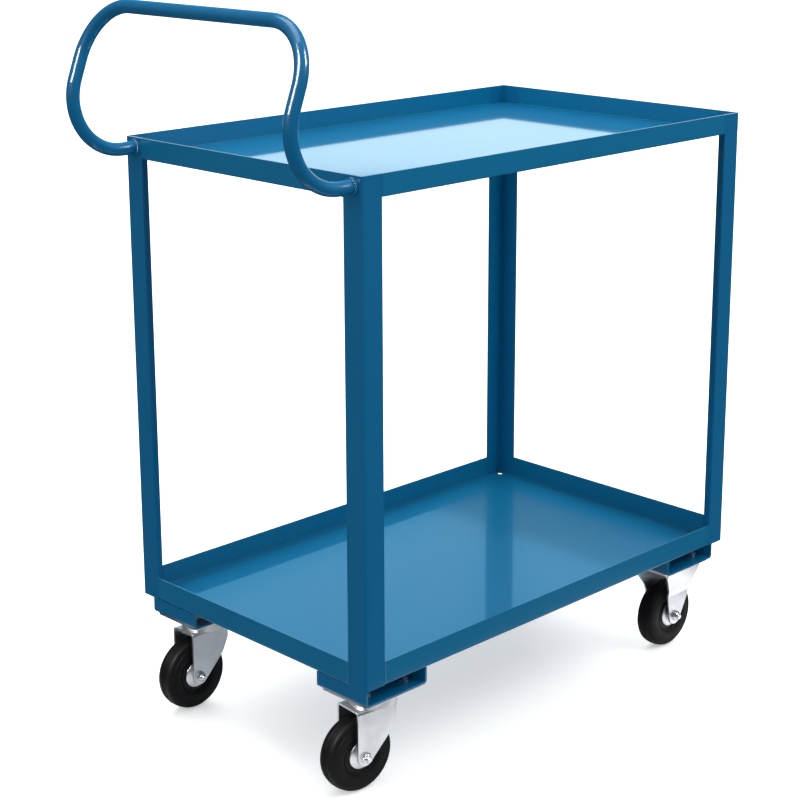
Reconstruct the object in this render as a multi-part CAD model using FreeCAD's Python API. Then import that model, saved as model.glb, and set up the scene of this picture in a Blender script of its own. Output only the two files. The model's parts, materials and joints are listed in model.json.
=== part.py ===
import FreeCAD, Part
import math
import os

# Two-tray platform trolley: two pressed-steel trays welded between four angle-iron
# legs, a bent tube push handle at one end, and four bolted-on casters under the
# lower tray: two that swivel at the push end and two rigid ones at the nose end.
#
# Frame: millimetres, +Z up, +X from the push end towards the nose, +Y to the left of
# a person pushing. The origin is on the floor, at the middle of the whole trolley's
# footprint, handle included.

# ---------------------------------------------------------------- driving dimensions
deck_length = 915.0
deck_width = 560.0
leg_height = 800.0
leg_bottom_z = 194.0

leg_flange = 40.0
leg_thickness = 3.0
leg_bend_radius = 4.0

sheet_thickness = 2.0
tray_bend_radius = 3.0
top_tray_height = 35.0
lower_tray_height = 39.0
drain_hole_radius = 5.5
drain_hole_inset = 16.0

# Push handle: one bent tube, its ends butted against the two push-end legs.
tube_radius = 11.0
tube_wall = 2.0
handle_weld_drop = 17.0
handle_stub = 24.5
handle_bend_radius = 90.0
handle_lean = math.radians(20.6)
crossbar_rise = 219.0
arm_inset = 22.0

# Channel brackets between the lower tray and the casters.
bracket_length = 132.0
bracket_width = 113.0
bracket_height = 27.0
bracket_thickness = 3.5
bracket_bend_radius = 6.0
left_bracket_inset = 28.0
nose_bracket_inset = 30.0

# Caster plates and the bolts that hold them.
plate_length = 124.0
plate_width = 106.0
plate_thickness = 3.5
plate_corner_radius = 8.0
bolt_spacing_x = 84.0
bolt_spacing_y = 60.0
mount_bolt_radius = 4.0
mount_hole_radius = 4.5
mount_head_flats = 13.0
mount_head_height = 5.3
mount_nut_height = 6.5
mount_bolt_projection = 4.0
lock_washer_radius = 7.0
lock_washer_height = 2.0

# Swivel head.
kingpin_radius = 6.0
kingpin_collar_radius = 11.0
kingpin_collar_height = 3.0
kingpin_projection = 2.0
kingpin_nut_flats = 18.0
kingpin_nut_height = 5.5
race_inner_radius = 24.0
race_outer_radius = 34.0
race_height = 6.5
cup_outer_radius = 40.0
cup_floor_height = 6.5
cup_rim_thickness = 2.5
cup_rim_height = 17.0
ball_radius = 3.5
ball_circle_radius = 29.0
ball_count = 16
dust_ring_height = 3.0

# Forks. Their side edges are listed from the top down, as x from the axle and height.
fork_thickness = 3.5
fork_half_width = 27.0
fork_bend_radius = 6.0
swivel_crown_top = 143.0
swivel_trail = 34.0
swivel_boss_radius = 14.5
swivel_rear_edge = [(62.0, 119.0), (50.0, 93.0)]
swivel_rounding = 10.0
rigid_boss_radius = 16.0
rigid_front_top = -46.0
rigid_front_edge = [(-45.0, 152.0), (-24.0, 116.0), (-20.0, 88.0)]
rigid_rear_top = 50.0
rigid_rear_edge = [(49.0, 150.0), (36.0, 97.0)]
rigid_rounding = 12.0
rigid_shoulder_half_width = 46.0
rigid_waist_z = 105.0
fork_section_low_z = 20.0

# Wheels and axles.
wheel_radius = 62.5
rib_offset = 3.2
rib_half_width = 0.6
rib_height = 0.6
tyre_bore_radius = 39.0
tyre_bead_radius = 30.0
tyre_bead_steps = [(30.0, 15.5), (33.0, 15.6), (33.8, 14.4), (35.0, 16.4)]
tyre_side_swell = (44.0, 18.0)
tyre_shoulder = (53.5, 17.0)
tyre_shoulder_turn = (59.6, 14.2)
tread_half_width = 9.5
tread_edge_drop = 0.5
core_half_width = 13.5
core_hub_radius = 13.5
core_hub_half_width = 19.0
roller_radius = 1.5
roller_length = 28.0
roller_count = 10
sleeve_outer_radius = 6.5
sleeve_inner_radius = 5.15
core_hub_step = 1.0
core_web_inset = 10.0
hub_disc_radius = 23.0
hub_disc_dish_radius = 14.5
hub_disc_lift = 0.8
hub_disc_thickness = 1.2
axle_bolt_radius = 5.0
axle_hole_radius = 5.2
axle_head_flats = 16.0
axle_head_height = 6.4
axle_nut_height = 8.0
axle_bolt_projection = 3.0

# How far each swivel caster stands turned about its upright pin, in degrees.
caster_swing = {"push_right": -6.0, "push_left": 0.0}

# Clearances: a close running fit, and the gap between parts that only pass each other.
running_gap = 0.05
free_gap = 0.3

# Weld beads.
seam_bead_width = 4.0
seam_bead_proud = 0.4
handle_bead_size = 4.0
bracket_bead_size = 3.0
bracket_bead_length = 35.0

# ---------------------------------------------------------------- worked-out places
handle_reach = handle_stub + handle_bend_radius + tube_radius
push_x = (handle_reach - deck_length) / 2
nose_x = push_x + deck_length
side_y = deck_width / 2
leg_top_z = leg_bottom_z + leg_height
bracket_z = leg_bottom_z - bracket_height
plate_z = bracket_z - plate_thickness
fork_inner_half_width = fork_half_width - fork_thickness
roller_circle_radius = sleeve_outer_radius + roller_radius + running_gap
core_bore_radius = roller_circle_radius + roller_radius + running_gap

# Each corner is given by the way its leg's flanges run from the corner edge, and by
# where its bracket starts. Push-end casters swivel and nose-end casters are rigid.
right_bracket_y = -side_y
left_bracket_y = side_y - left_bracket_inset - bracket_width
push_bracket_x = push_x
nose_bracket_x = nose_x - nose_bracket_inset - bracket_length
corners = {
    "push_right": (push_x, -side_y, 1, 1, push_bracket_x, right_bracket_y),
    "push_left": (push_x, side_y, 1, -1, push_bracket_x, left_bracket_y),
    "nose_right": (nose_x, -side_y, -1, 1, nose_bracket_x, right_bracket_y),
    "nose_left": (nose_x, side_y, -1, -1, nose_bracket_x, left_bracket_y),
}
swivel_corners = ("push_right", "push_left")
rigid_corners = ("nose_right", "nose_left")

up = FreeCAD.Vector(0, 0, 1)
along_x = FreeCAD.Vector(1, 0, 0)
along_y = FreeCAD.Vector(0, 1, 0)


# ---------------------------------------------------------------- helpers
def vec(x, y, z):
    return FreeCAD.Vector(x, y, z)


def save(name, *solids):
    """Write one sub-part, as a single solid or as a group of separate ones."""
    shape = solids[0] if len(solids) == 1 else Part.makeCompound(list(solids))
    shape.exportStep("parts/" + name + ".step")
    print(name, "solids", len(shape.Solids), "volume", round(shape.Volume, 1))


def box(low, high):
    """A box between two opposite corners."""
    size = high - low
    return Part.makeBox(size.x, size.y, size.z, low)


def prism(points, direction):
    """Extrude a closed outline of points."""
    return Part.Face(Part.makePolygon(points + [points[0]])).extrude(direction)


def ring(outer_radius, inner_radius, height, base, axis=up):
    """A plain washer-like ring."""
    outer = Part.makeCylinder(outer_radius, height, base, axis)
    return outer.cut(Part.makeCylinder(inner_radius, height, base, axis))


def revolve_about_y(outline, centre):
    """Turn an outline of (radius, y) points into a solid round an axle along Y."""
    points = [vec(centre.x + radius, centre.y + y, centre.z) for radius, y in outline]
    face = Part.Face(Part.makePolygon(points + [points[0]]))
    return face.revolve(centre, along_y, 360)


def revolve_about_z(outline, centre_x, centre_y):
    """Turn an outline of (radius, z) points into a solid round a vertical axis."""
    points = [vec(centre_x + radius, centre_y, z) for radius, z in outline]
    face = Part.Face(Part.makePolygon(points + [points[0]]))
    return face.revolve(vec(centre_x, centre_y, 0), up, 360)


def hexagon(flats, height, base, axis):
    """A hexagonal head or nut, its far corners chamfered, standing on base."""
    corner_radius = flats / math.sqrt(3)
    chamfer = corner_radius - flats / 2
    points = []
    for index in range(6):
        angle = math.radians(60 * index)
        points.append(vec(corner_radius * math.cos(angle), corner_radius * math.sin(angle), 0))
    body = prism(points, up * height)
    blank = Part.makeCylinder(corner_radius, height)
    blank = blank.makeChamfer(chamfer, [blank.Edges[0]])
    body = body.common(blank)
    body.Placement = FreeCAD.Placement(base, FreeCAD.Rotation(up, axis))
    return body


def edges_where(shape, test):
    """The straight edges whose two ends both pass a test."""
    found = []
    for edge in shape.Edges:
        if len(edge.Vertexes) == 2 and all(test(vertex.Point) for vertex in edge.Vertexes):
            found.append(edge)
    return found


def near(a, b):
    return abs(a - b) < 1e-6


# ---------------------------------------------------------------- frame
def angle_leg(corner_x, corner_y, way_x, way_y):
    """An angle-iron leg, its outer edge at the corner and its open side inward."""
    outline = [
        (0, 0),
        (leg_flange, 0),
        (leg_flange, leg_thickness),
        (leg_thickness, leg_thickness),
        (leg_thickness, leg_flange),
        (0, leg_flange),
    ]
    points = [vec(corner_x + way_x * x, corner_y + way_y * y, leg_bottom_z) for x, y in outline]
    leg = prism(points, up * leg_height)

    def at_outer_edge(point):
        return near(point.x, corner_x) and near(point.y, corner_y)

    def at_inner_edge(point):
        inner_x = corner_x + way_x * leg_thickness
        inner_y = corner_y + way_y * leg_thickness
        return near(point.x, inner_x) and near(point.y, inner_y)

    leg = leg.makeFillet(leg_bend_radius, edges_where(leg, at_outer_edge))
    return leg.makeFillet(leg_bend_radius - leg_thickness, edges_where(leg, at_inner_edge))


def tray(floor_z, height):
    """A pressed tray with four upturned lips, its corners notched round the legs."""
    top_z = floor_z + height
    outer = box(vec(push_x, -side_y, floor_z), vec(nose_x, side_y, top_z))
    outer = outer.makeFillet(
        tray_bend_radius, edges_where(outer, lambda point: near(point.z, floor_z)))
    inner_z = floor_z + sheet_thickness
    inner = box(
        vec(push_x + sheet_thickness, -side_y + sheet_thickness, inner_z),
        vec(nose_x - sheet_thickness, side_y - sheet_thickness, top_z + sheet_thickness))
    inner = inner.makeFillet(
        tray_bend_radius - sheet_thickness,
        edges_where(inner, lambda point: near(point.z, inner_z)))
    shell = outer.cut(inner)
    for corner_x, corner_y, way_x, way_y, _, _ in corners.values():
        for reach_x, reach_y in (
                (leg_flange, leg_thickness),
                (leg_thickness, leg_flange),
                (leg_bend_radius, leg_bend_radius)):
            far_x = corner_x + way_x * reach_x
            far_y = corner_y + way_y * reach_y
            low = vec(min(corner_x, far_x), min(corner_y, far_y), floor_z)
            high = vec(max(corner_x, far_x), max(corner_y, far_y), top_z)
            shell = shell.cut(box(low, high))
    return shell


def drain_holes(shell, floor_z):
    """A round drain hole through the tray floor near each corner."""
    for corner_x, corner_y, way_x, way_y, _, _ in corners.values():
        centre = vec(
            corner_x + way_x * drain_hole_inset, corner_y + way_y * drain_hole_inset, floor_z)
        shell = shell.cut(Part.makeCylinder(drain_hole_radius, sheet_thickness, centre))
    return shell


def seam_beads(floor_z, height):
    """The beads that join each lip end to a leg: a low cap outside, a fillet inside."""
    beads = []
    half = seam_bead_width / 2
    bottom = floor_z + tray_bend_radius
    rise = up * (height - tray_bend_radius)
    for corner_x, corner_y, way_x, way_y, _, _ in corners.values():
        for turned in (False, True):

            def place(along, depth):
                if turned:
                    return vec(corner_x + way_x * depth, corner_y + way_y * along, bottom)
                return vec(corner_x + way_x * along, corner_y + way_y * depth, bottom)

            cap = Part.Arc(
                place(leg_flange - half, 0),
                place(leg_flange, -seam_bead_proud),
                place(leg_flange + half, 0)).toShape()
            chord = Part.makeLine(place(leg_flange + half, 0), place(leg_flange - half, 0))
            beads.append(Part.Face(Part.Wire([cap, chord])).extrude(rise))
            fillet = [
                place(leg_flange, sheet_thickness),
                place(leg_flange, leg_thickness),
                place(leg_flange + half, sheet_thickness),
            ]
            beads.append(prism(fillet, rise))
    return beads


def handle_path(way_y):
    """One side of the handle's centre line, from its weld to the middle of the crossbar."""
    arm_y = way_y * (side_y - arm_inset)
    weld_z = leg_top_z - handle_weld_drop
    climb = vec(math.sin(handle_lean), 0, math.cos(handle_lean))
    inward = vec(0, -way_y, 0)
    start = vec(push_x, arm_y, weld_z)
    sweep_start = start - along_x * handle_stub
    sweep_centre = sweep_start + up * handle_bend_radius
    full_turn = math.pi / 2 + handle_lean

    def on_sweep(angle):
        return sweep_centre + vec(-math.sin(angle), 0, -math.cos(angle)) * handle_bend_radius

    sweep_end = on_sweep(full_turn)
    arm_run = (leg_top_z + crossbar_rise - sweep_end.z) / climb.z - handle_bend_radius
    corner_start = sweep_end + climb * arm_run
    corner_centre = corner_start + inward * handle_bend_radius
    corner_middle = corner_centre + (climb - inward) * (handle_bend_radius / math.sqrt(2))
    corner_end = corner_centre + climb * handle_bend_radius
    middle = vec(corner_end.x, 0, corner_end.z)
    return [
        Part.makeLine(start, sweep_start),
        Part.Arc(sweep_start, on_sweep(full_turn / 2), sweep_end).toShape(),
        Part.makeLine(sweep_end, corner_start),
        Part.Arc(corner_start, corner_middle, corner_end).toShape(),
        Part.makeLine(corner_end, middle),
    ]


def handle_tube():
    """The push handle: one tube bent up, back over the trolley and across."""
    edges = handle_path(1) + handle_path(-1)
    path = Part.Wire(Part.__sortEdges__(edges))
    end = path.OrderedVertexes[0].Point
    skins = []
    for radius in (tube_radius, tube_radius - tube_wall):
        section = Part.Wire(Part.makeCircle(radius, end, along_x))
        skins.append(path.makePipeShell([section], True, False))
    return skins[0].cut(skins[1])


def handle_bead(way_y):
    """The fillet weld round one end of the handle, against the leg's face."""
    arm_y = way_y * (side_y - arm_inset)
    weld_z = leg_top_z - handle_weld_drop
    points = [
        vec(push_x, arm_y, weld_z + tube_radius),
        vec(push_x, arm_y, weld_z + tube_radius + handle_bead_size),
        vec(push_x - handle_bead_size, arm_y, weld_z + tube_radius),
    ]
    face = Part.Face(Part.makePolygon(points + [points[0]]))
    return face.revolve(vec(push_x, arm_y, weld_z), along_x, 360)


# ---------------------------------------------------------------- brackets and bolts
def caster_centre(corner):
    """The middle of a corner's bracket, seen from above."""
    bracket_x, bracket_y = corners[corner][4:]
    return bracket_x + bracket_length / 2, bracket_y + bracket_width / 2


def bolt_places(centre_x, centre_y):
    places = []
    for way_x in (-1, 1):
        for way_y in (-1, 1):
            places.append((centre_x + way_x * bolt_spacing_x / 2, centre_y + way_y * bolt_spacing_y / 2))
    return places


def drill_mount_holes(shape, centre_x, centre_y, low_z, depth):
    for x, y in bolt_places(centre_x, centre_y):
        shape = shape.cut(Part.makeCylinder(mount_hole_radius, depth, vec(x, y, low_z)))
    return shape


def bracket(corner):
    """A folded channel, open to the sides, with its web below and four bolt holes."""
    bracket_x, bracket_y = corners[corner][4:]
    far = vec(bracket_x + bracket_length, bracket_y + bracket_width, leg_bottom_z)
    outer = box(vec(bracket_x, bracket_y, bracket_z), far)
    inner_z = bracket_z + bracket_thickness
    inner = box(
        vec(bracket_x + bracket_thickness, bracket_y, inner_z),
        vec(far.x - bracket_thickness, far.y, far.z))

    def fold(shape, level, radius):
        ends = (shape.BoundBox.XMin, shape.BoundBox.XMax)

        def on_fold(point):
            return near(point.z, level) and (near(point.x, ends[0]) or near(point.x, ends[1]))

        edges = [edge for edge in edges_where(shape, on_fold) if edge.Length < bracket_width + 1]
        return shape.makeFillet(radius, edges)

    outer = fold(outer, bracket_z, bracket_bend_radius)
    inner = fold(inner, inner_z, bracket_bend_radius - bracket_thickness)
    centre_x, centre_y = caster_centre(corner)
    return drill_mount_holes(outer.cut(inner), centre_x, centre_y, bracket_z, bracket_thickness)


def bracket_beads(corner):
    """Stitch welds inside the channel, between its flanges and the tray's underside."""
    bracket_x, bracket_y = corners[corner][4:]
    beads = []
    for wall_x, way in (
            (bracket_x + bracket_thickness, 1),
            (bracket_x + bracket_length - bracket_thickness, -1)):
        for stitch_y in (bracket_y + leg_flange, bracket_y + bracket_width - bracket_bead_length):
            points = [
                vec(wall_x, stitch_y, leg_bottom_z),
                vec(wall_x + way * bracket_bead_size, stitch_y, leg_bottom_z),
                vec(wall_x, stitch_y, leg_bottom_z - bracket_bead_size),
            ]
            beads.append(prism(points, along_y * bracket_bead_length))
    return beads


def mounting_bolt(x, y):
    """A hexagon bolt, head under the caster plate, shank up through the bracket."""
    grip = plate_thickness + bracket_thickness + lock_washer_height + mount_nut_height
    shank = Part.makeCylinder(
        mount_bolt_radius, grip + mount_bolt_projection, vec(x, y, plate_z))
    return hexagon(mount_head_flats, mount_head_height, vec(x, y, plate_z), -up).fuse(shank)


def lock_washer(x, y):
    base = vec(x, y, bracket_z + bracket_thickness)
    return ring(lock_washer_radius, mount_bolt_radius + running_gap, lock_washer_height, base)


def mounting_nut(x, y):
    base = vec(x, y, bracket_z + bracket_thickness + lock_washer_height)
    nut = hexagon(mount_head_flats, mount_nut_height, base, up)
    return nut.cut(Part.makeCylinder(mount_bolt_radius, mount_nut_height, base))


def caster_plate(centre_x, centre_y):
    """A flat plate with rounded corners and four bolt holes."""
    low = vec(centre_x - plate_length / 2, centre_y - plate_width / 2, plate_z)
    plate = box(low, low + vec(plate_length, plate_width, plate_thickness))
    uprights = [edge for edge in plate.Edges if near(edge.Length, plate_thickness)]
    plate = plate.makeFillet(plate_corner_radius, uprights)
    return drill_mount_holes(plate, centre_x, centre_y, plate_z, plate_thickness)


# ---------------------------------------------------------------- swivel head
def ball_groove(centre_x, centre_y):
    """The round track that the balls roll in, a little larger than a ball."""
    ball_z = swivel_crown_top + cup_floor_height + ball_radius
    centre = vec(centre_x, centre_y, ball_z)
    return Part.makeTorus(ball_circle_radius, ball_radius + free_gap, centre, up)


def swivel_plate(centre_x, centre_y):
    """The fixed caster plate with the upper ball race pressed under it."""
    plate = caster_plate(centre_x, centre_y)
    base = vec(centre_x, centre_y, plate_z - race_height)
    race = ring(race_outer_radius, race_inner_radius, race_height, base)
    plate = plate.fuse(race.cut(ball_groove(centre_x, centre_y)))
    hole_base = vec(centre_x, centre_y, plate_z)
    return plate.cut(Part.makeCylinder(kingpin_radius, plate_thickness, hole_base))


def kingpin(centre_x, centre_y):
    """The vertical pin riveted into the plate, which the fork turns on."""
    crown_under = swivel_crown_top - fork_thickness
    low_z = crown_under - free_gap - kingpin_nut_height - kingpin_projection
    pin = Part.makeCylinder(kingpin_radius, bracket_z - low_z, vec(centre_x, centre_y, low_z))
    collar_z = plate_z - kingpin_collar_height
    collar = Part.makeCylinder(
        kingpin_collar_radius, kingpin_collar_height, vec(centre_x, centre_y, collar_z))
    return pin.fuse(collar)


def kingpin_nut(centre_x, centre_y):
    top = vec(centre_x, centre_y, swivel_crown_top - fork_thickness - free_gap)
    nut = hexagon(kingpin_nut_flats, kingpin_nut_height, top, -up)
    return nut.cut(Part.makeCylinder(kingpin_radius, kingpin_nut_height, top, -up))


def ball_ring(centre_x, centre_y):
    """The loose balls between the two races."""
    ball_z = swivel_crown_top + cup_floor_height + ball_radius
    balls = []
    for index in range(ball_count):
        angle = 2 * math.pi * index / ball_count
        x = centre_x + ball_circle_radius * math.cos(angle)
        y = centre_y + ball_circle_radius * math.sin(angle)
        balls.append(Part.makeSphere(ball_radius, vec(x, y, ball_z)))
    return balls


def dust_ring(centre_x, centre_y):
    """The seal that fills the gap between the cup's rim and the upper race."""
    base_z = swivel_crown_top + cup_rim_height - dust_ring_height
    return ring(
        cup_outer_radius - cup_rim_thickness,
        race_outer_radius + free_gap,
        dust_ring_height,
        vec(centre_x, centre_y, base_z))


def race_cup(centre_x, centre_y):
    """The lower race, a cup with a raised rim that turns with the fork."""
    floor_z = swivel_crown_top
    race_z = floor_z + cup_floor_height
    rim_inner = cup_outer_radius - cup_rim_thickness
    outline = [
        (race_inner_radius, floor_z),
        (cup_outer_radius, floor_z),
        (cup_outer_radius, floor_z + cup_rim_height),
        (rim_inner, floor_z + cup_rim_height),
        (rim_inner, race_z),
        (race_inner_radius, race_z),
    ]
    return revolve_about_z(outline, centre_x, centre_y).cut(ball_groove(centre_x, centre_y))


# ---------------------------------------------------------------- forks
def tangent_angle(centre, radius, point, side):
    """The angle on a circle where a line from an outside point just touches it."""
    distance = math.hypot(point[0] - centre[0], point[1] - centre[1])
    bearing = math.atan2(point[1] - centre[1], point[0] - centre[0])
    return bearing + side * math.acos(radius / distance)


def fork_outline(axle_x, centre_y, boss_radius, front, rear, rounding):
    """The side shape of a fork: front and rear edges that run down to a round boss.

    front and rear list (x, z) points from the top down, x counted from the axle.
    """
    def on_boss(angle):
        return (boss_radius * math.cos(angle), wheel_radius + boss_radius * math.sin(angle))

    def place(point):
        return vec(axle_x + point[0], centre_y - deck_width / 2, point[1])

    boss = (0, wheel_radius)
    front_angle = tangent_angle(boss, boss_radius, front[-1], 1)
    rear_angle = tangent_angle(boss, boss_radius, rear[-1], -1)
    front_points = [place(point) for point in front] + [place(on_boss(front_angle))]
    rear_points = [place(point) for point in rear] + [place(on_boss(rear_angle))]
    bottom = place(on_boss(-math.pi / 2))
    arc = Part.Arc(rear_points[-1], bottom, front_points[-1]).toShape()
    round_trip = list(reversed(front_points)) + rear_points
    lines = [Part.makeLine(a, b) for a, b in zip(round_trip, round_trip[1:])]
    solid = Part.Face(Part.Wire(lines + [arc])).extrude(along_y * deck_width)
    turns = [place(point) for point in front[1:] + rear[1:]]

    def at_turn(point):
        return any(near(point.x, turn.x) and near(point.z, turn.z) for turn in turns)

    edges = [edge for edge in edges_where(solid, at_turn) if near(edge.Length, deck_width)]
    return solid.makeFillet(rounding, edges)


def folded_channel(section, start_x, length, centre_y):
    """Fold a strip over the wheel: an inverted channel of even thickness.

    section lists the outer (y, z) points of one side, from the crown down.
    """
    left = [vec(start_x, centre_y + y, z) for y, z in section]
    right = [vec(start_x, centre_y - y, z) for y, z in reversed(section)]
    outside = Part.makePolygon(left + right + [left[0]])
    inside = outside.makeOffset2D(-fork_thickness, 2)
    solids = []
    for wire, radius in ((outside, fork_bend_radius), (inside, fork_bend_radius - fork_thickness)):
        solid = Part.Face(wire).extrude(along_x * length)
        folds = edges_where(solid, lambda point: point.z > wheel_radius)
        folds = [edge for edge in folds if near(edge.Length, length)]
        solids.append(solid.makeFillet(radius, folds))
    return solids[0].cut(solids[1])


def drill_axle(shape, axle_x, centre_y):
    base = vec(axle_x, centre_y - fork_half_width, wheel_radius)
    return shape.cut(Part.makeCylinder(axle_hole_radius, 2 * fork_half_width, base, along_y))


def swivel_fork(centre_x, centre_y):
    """The turning fork: crown, two arms and the lower race, trailing behind its pin."""
    axle_x = centre_x - swivel_trail
    front = [(-swivel_boss_radius, swivel_crown_top)]
    rear = [(swivel_rear_edge[0][0], swivel_crown_top)] + swivel_rear_edge
    outline = fork_outline(axle_x, centre_y, swivel_boss_radius, front, rear, swivel_rounding)
    section = [(fork_half_width, swivel_crown_top), (fork_half_width, fork_section_low_z)]
    arms = folded_channel(section, axle_x - deck_width / 2, deck_width, centre_y)
    fork = arms.common(outline).fuse(race_cup(centre_x, centre_y))
    hole_base = vec(centre_x, centre_y, swivel_crown_top - fork_thickness)
    fork = fork.cut(Part.makeCylinder(kingpin_radius + running_gap, fork_thickness, hole_base))
    return drill_axle(fork, axle_x, centre_y)


def rigid_fork(centre_x, centre_y):
    """The fixed fork: two splayed arms bent down from a plate bolted to the bracket."""
    front = [(rigid_front_top, bracket_z)] + rigid_front_edge
    rear = [(rigid_rear_top, bracket_z)] + rigid_rear_edge
    outline = fork_outline(centre_x, centre_y, rigid_boss_radius, front, rear, rigid_rounding)
    section = [
        (rigid_shoulder_half_width, bracket_z),
        (fork_half_width, rigid_waist_z),
        (fork_half_width, fork_section_low_z),
    ]
    arms = folded_channel(section, centre_x - deck_width / 2, deck_width, centre_y)
    fork = arms.common(outline).fuse(caster_plate(centre_x, centre_y))
    fork = drill_mount_holes(fork, centre_x, centre_y, plate_z, plate_thickness)
    return drill_axle(fork.removeSplitter(), centre_x, centre_y)


# ---------------------------------------------------------------- axles and wheels
def axle_bolt(axle_x, centre_y):
    """A long hexagon bolt through both arms, its head on the left."""
    head_base = vec(axle_x, centre_y + fork_half_width, wheel_radius)
    length = 2 * fork_half_width + axle_nut_height + axle_bolt_projection
    shank = Part.makeCylinder(axle_bolt_radius, length, head_base, -along_y)
    return hexagon(axle_head_flats, axle_head_height, head_base, along_y).fuse(shank)


def axle_nut(axle_x, centre_y):
    base = vec(axle_x, centre_y - fork_half_width, wheel_radius)
    nut = hexagon(axle_head_flats, axle_nut_height, base, -along_y)
    return nut.cut(Part.makeCylinder(axle_bolt_radius, axle_nut_height, base, -along_y))


def axle_sleeve(axle_x, centre_y):
    """The spacer tube clamped between the arms, which the rollers run on."""
    base = vec(axle_x, centre_y - fork_inner_half_width, wheel_radius)
    return ring(sleeve_outer_radius, sleeve_inner_radius, 2 * fork_inner_half_width, base, along_y)


def tyre(axle_x, centre_y):
    """A solid rubber tyre: domed sides, a stepped bead and two fine ribs on the tread."""
    crown = wheel_radius - rib_height

    def at(radius, y):
        return vec(axle_x + radius, centre_y + y, wheel_radius)

    def side(way):
        """The outline of one side, from the middle of the bore to the middle of the tread."""
        corners_in = [
            at(tyre_bore_radius, 0),
            at(tyre_bore_radius, way * core_half_width),
            at(tyre_bead_radius, way * core_half_width),
        ]
        corners_in += [at(radius, way * y) for radius, y in tyre_bead_steps]
        shoulder = at(tyre_shoulder[0], way * tyre_shoulder[1])
        swell = at(tyre_side_swell[0], way * tyre_side_swell[1])
        turn = at(tyre_shoulder_turn[0], way * tyre_shoulder_turn[1])
        tread_edge = at(crown - tread_edge_drop, way * tread_half_width)
        ribs = [
            tread_edge,
            at(crown, way * (rib_offset + 2 * rib_half_width)),
            at(wheel_radius, way * (rib_offset + rib_half_width)),
            at(wheel_radius, way * (rib_offset - rib_half_width)),
            at(crown, way * (rib_offset - 2 * rib_half_width)),
            at(crown, 0),
        ]
        edges = [Part.makeLine(a, b) for a, b in zip(corners_in, corners_in[1:])]
        edges.append(Part.Arc(corners_in[-1], swell, shoulder).toShape())
        edges.append(Part.Arc(shoulder, turn, tread_edge).toShape())
        edges += [Part.makeLine(a, b) for a, b in zip(ribs, ribs[1:])]
        return edges

    outline = Part.Wire(Part.__sortEdges__(side(1) + side(-1)))
    return Part.Face(outline).revolve(at(0, 0), along_y, 360)


def wheel_core(axle_x, centre_y):
    """The moulded centre that the tyre is bonded to, with the bore the rollers run in."""
    half = [
        (core_bore_radius, core_hub_half_width),
        (core_hub_radius, core_hub_half_width),
        (core_hub_radius, core_half_width + core_hub_step),
        (tyre_bore_radius - core_web_inset, core_half_width),
        (tyre_bore_radius, core_half_width),
    ]
    outline = half + [(radius, -y) for radius, y in reversed(half)]
    return revolve_about_y(outline, vec(axle_x, centre_y, wheel_radius))


def hub_disc(axle_x, centre_y, way):
    """A dished steel cover that keeps dirt out of the rollers on one side."""
    inner = sleeve_outer_radius + free_gap
    face = core_hub_half_width
    rim = core_half_width + hub_disc_lift
    half = [(inner, face), (hub_disc_dish_radius, face), (hub_disc_radius, rim)]
    outline = half + [(radius, y + hub_disc_thickness) for radius, y in reversed(half)]
    outline = [(radius, way * y) for radius, y in outline]
    return revolve_about_y(outline, vec(axle_x, centre_y, wheel_radius))


def rollers(axle_x, centre_y):
    """The bearing's loose rollers, spaced evenly round the sleeve."""
    found = []
    for index in range(roller_count):
        angle = 2 * math.pi * index / roller_count
        x = axle_x + roller_circle_radius * math.cos(angle)
        z = wheel_radius + roller_circle_radius * math.sin(angle)
        base = vec(x, centre_y - roller_length / 2, z)
        found.append(Part.makeCylinder(roller_radius, roller_length, base, along_y))
    return found


def swing(corner, *solids):
    """Turn a caster's moving parts about its upright pin, to where they stand at rest."""
    pin_x, pin_y = caster_centre(corner)
    turned = []
    for solid in solids:
        moved = solid.copy()
        moved.rotate(vec(pin_x, pin_y, 0), up, caster_swing.get(corner, 0.0))
        turned.append(moved)
    return turned


# ---------------------------------------------------------------- write every sub-part
os.makedirs("parts", exist_ok=True)

top_tray_z = leg_top_z - top_tray_height
save("top_tray", tray(top_tray_z, top_tray_height))
save("lower_tray", drain_holes(tray(leg_bottom_z, lower_tray_height), leg_bottom_z))
save("tray_weld_beads", *(
    seam_beads(top_tray_z, top_tray_height) + seam_beads(leg_bottom_z, lower_tray_height)))
save("handle_tube", handle_tube())
save("handle_weld_beads", handle_bead(1), handle_bead(-1))

bolts = []
washers = []
nuts = []
stitches = []
for corner, (corner_x, corner_y, way_x, way_y, _, _) in corners.items():
    save("leg_" + corner, angle_leg(corner_x, corner_y, way_x, way_y))
    save("bracket_" + corner, bracket(corner))
    stitches += bracket_beads(corner)
    for x, y in bolt_places(*caster_centre(corner)):
        bolts.append(mounting_bolt(x, y))
        washers.append(lock_washer(x, y))
        nuts.append(mounting_nut(x, y))
save("bracket_weld_beads", *stitches)
save("mounting_bolts", *bolts)
save("mounting_lock_washers", *washers)
save("mounting_nuts", *nuts)

for corner in swivel_corners:
    centre = caster_centre(corner)
    axle = (centre[0] - swivel_trail, centre[1])
    save("swivel_plate_" + corner, swivel_plate(*centre))
    save("swivel_fork_" + corner, *swing(corner, swivel_fork(*centre)))
    save("swivel_balls_" + corner, *swing(corner, *ball_ring(*centre)))
    save("dust_ring_" + corner, *swing(corner, dust_ring(*centre)))
    save("axle_bolt_" + corner, *swing(corner, axle_bolt(*axle)))
    save("axle_nut_" + corner, *swing(corner, axle_nut(*axle)))
    save("axle_sleeve_" + corner, *swing(corner, axle_sleeve(*axle)))
save("kingpins", *[kingpin(*caster_centre(corner)) for corner in swivel_corners])
save("kingpin_nuts", *[kingpin_nut(*caster_centre(corner)) for corner in swivel_corners])

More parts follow.
